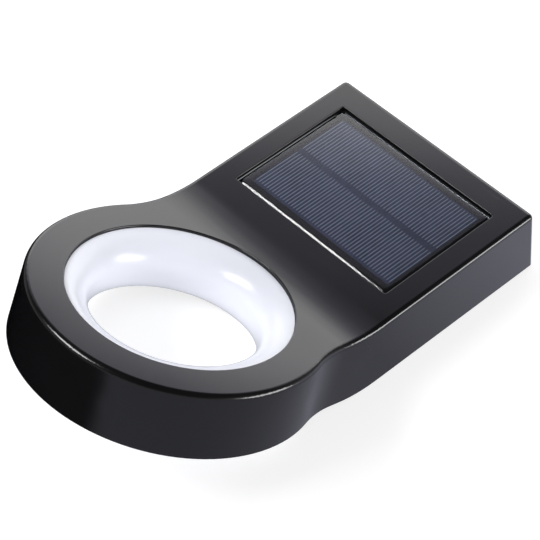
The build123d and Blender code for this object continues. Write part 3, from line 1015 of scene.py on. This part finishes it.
# White paper, which the view sees lit. What mirrors in the walls is set apart from it: bright on the
# right, fading to dark before the ring's left, as photographed
table = {
    "size": 6.0,
    "below": 0.05 * mm,
    "dark": (0.45, 0.45, 0.455),
    "light": (0.4635, 0.4635, 0.46865),
    "cloud": 90.0,
    "cloudRange": (0.3, 0.7),
    "rough": 0.95,
    "glow": 0.76,
    "farGlow": 1.0,  # where the lamps no longer reach
    "farRange": (0.35, 0.9),
    "mirrorTint": (0.92, 0.93, 1.10),
    "mirrorNear": 0.46,
    "mirrorFar": 0.62,
    "acrossRange": (15.0 * mm, 42.0 * mm),
    "alongRange": (22.0 * mm, 95.0 * mm),
}


def tableMaterial(shape):
    material, tree, place = startMaterial("tablePaper")
    keys = {
        "Base Color": clouded(tree, noise(tree, place, shape["cloud"]), shape),
        "Roughness": shape["rough"],
        "Specular IOR Level": 0.0,
    }
    away = addNode(tree, "ShaderNodeVectorMath", {0: place}, operation="LENGTH").outputs["Value"]
    glowing = spread(tree, away, shape["glow"], shape["farGlow"], *shape["farRange"])
    glow = addNode(tree, "ShaderNodeEmission", {"Strength": glowing}).outputs[0]
    paper = addNode(tree, "ShaderNodeAddShader", {0: principled(tree, keys), 1: glow}).outputs[0]
    spot = addNode(tree, "ShaderNodeSeparateXYZ", {"Vector": place}).outputs
    near = spread(tree, spot["X"], 0.0, shape["mirrorNear"], *shape["acrossRange"], "SMOOTHSTEP")
    far = spread(tree, spot["Y"], 0.0, shape["mirrorFar"], *shape["alongRange"])
    wide = spread(tree, spot["X"], 0.0, 1.0, *shape["acrossRange"])
    light = {
        "Color": (*shape["mirrorTint"], 1),
        "Strength": calc(tree, "ADD", near, calc(tree, "MULTIPLY", far, wide)),
    }
    mirrored = addNode(tree, "ShaderNodeEmission", light).outputs[0]
    gloss = addNode(tree, "ShaderNodeLightPath").outputs["Is Glossy Ray"]
    mix = addNode(tree, "ShaderNodeMixShader", {0: gloss, 1: paper, 2: mirrored})
    endMaterial(tree, mix.outputs["Shader"])
    material.cycles.emission_sampling = "NONE"
    return material


def flatMesh(name, width, length, height, material, faceDown=False):
    x, y = width / 2, length / 2
    mesh = bpy.data.meshes.new(name)
    corners = [(-x, -y, height), (x, -y, height), (x, y, height), (-x, y, height)]
    mesh.from_pydata(corners, [], [(3, 2, 1, 0) if faceDown else (0, 1, 2, 3)])
    mesh.materials.append(material)
    return mesh


def addTable(shape):
    sheet = flatMesh("table", shape["size"], shape["size"], -shape["below"], tableMaterial(shape))
    addObject("table", sheet)


addTable(table)

# The room: white to the view, dim on the object, and with pale walls under a dark ceiling in its shine
sky = {
    "seen": 1.0,
    "onObject": 0.25,
    "walls": 0.55,
    "ceiling": 0.06,
    "fade": (6, 32),  # degrees up, from the walls to the ceiling
}


def addSky(shape):
    world = bpy.data.worlds.new("sky")
    bpy.context.scene.world = world
    world.use_nodes = True
    world.cycles.sampling_method = "NONE"
    tree = world.node_tree
    tree.nodes.clear()
    path = addNode(tree, "ShaderNodeLightPath").outputs
    seen = calc(tree, "MAXIMUM", path["Is Camera Ray"], path["Is Transmission Ray"])
    toward = addNode(tree, "ShaderNodeTexCoord").outputs["Generated"]
    height = addNode(tree, "ShaderNodeSeparateXYZ", {"Vector": toward}).outputs["Z"]
    fade = (math.sin(math.radians(degrees)) for degrees in shape["fade"])
    room = spread(tree, height, shape["walls"], shape["ceiling"], *fade)
    unseen = blendValue(tree, path["Is Glossy Ray"], shape["onObject"], room)
    strength = blendValue(tree, seen, unseen, shape["seen"])
    light = addNode(tree, "ShaderNodeBackground", {"Strength": strength})
    addNode(tree, "ShaderNodeOutputWorld", {"Surface": light.outputs[0]})


addSky(sky)


# Lamps and the card look at the origin from azimuth (from +Y towards +X) and elevation, in degrees
def lookingIn(shape):
    azimuth, elevation = math.radians(shape["azimuth"]), math.radians(shape["elevation"])
    flat = math.cos(elevation)
    toward = Vector((math.sin(azimuth) * flat, math.cos(azimuth) * flat, math.sin(elevation)))
    turn = toward.to_track_quat("Z", "Y").to_matrix().to_4x4()
    return Matrix.Translation(toward * shape["distance"]) @ turn


# A lit card behind the plate: its light fades towards its top, and the plate and the bend mirror that
backCard = {
    "azimuth": -38.0,
    "elevation": 28.0,
    "distance": 0.22,
    "size": (0.36, 0.234),
    "dimTint": (0.95, 0.94, 1.16),
    # elevation in degrees, light there
    "fade": (
        (2, 1.6),
        (16, 2.3),
        (24, 2.6),
        (32, 2.4),
        (35, 1.9),
        (38, 1.3),
        (41, 0.75),
        (46, 0.52),
        (55, 0.42),
    ),
}


def cardMaterial(shape):
    material, tree, place = startMaterial("cardLight")
    along = addNode(tree, "ShaderNodeSeparateXYZ", {"Vector": place}).outputs["Y"]
    half = shape["size"][1] / 2
    share = spread(tree, along, 0.0, 1.0, -half, half)
    most = max(light for degrees, light in shape["fade"])
    stops = []
    for degrees, light in shape["fade"]:
        height = shape["distance"] * math.tan(math.radians(degrees - shape["elevation"]))
        tint = (1 + (dim - 1) * (1 - light / most) for dim in shape["dimTint"])
        stops.append(((height + half) / (2 * half), tuple(part * light / most for part in tint)))
    keys = {"Color": ramp(tree, share, stops), "Strength": most}
    endMaterial(tree, addNode(tree, "ShaderNodeEmission", keys).outputs[0])
    material.cycles.emission_sampling = "FRONT"
    return material


def addCard(name, shape):
    sheet = flatMesh(name, *shape["size"], 0.0, cardMaterial(shape), faceDown=True)
    card = addObject(name, sheet)
    card.matrix_world = lookingIn(shape)
    card.visible_camera = False  # a view from its side looks through it


addCard("backCard", backCard)

lamps = {
    "leftStrip": {
        "azimuth": -145.0,
        "elevation": 48.0,
        "distance": 0.7,
        "size": (0.38, 0.16),
        "radiance": 16.5,
    },
    "rightStrip": {
        "azimuth": 66.0,
        "elevation": 10.0,
        "distance": 0.7,
        "size": (0.45, 0.20),
        "radiance": 11.0,
    },
}


def addLamp(name, shape):
    data = bpy.data.lights.new(name, "AREA")
    data.shape = "RECTANGLE"
    data.size, data.size_y = shape["size"]
    data.energy = shape["radiance"] * math.pi * data.size * data.size_y
    addObject(name, data).matrix_world = lookingIn(shape)


for lampName, lampShape in lamps.items():
    addLamp(lampName, lampShape)
bpy.context.scene.view_settings.view_transform = "Standard"
print("table, camera and lamps set")
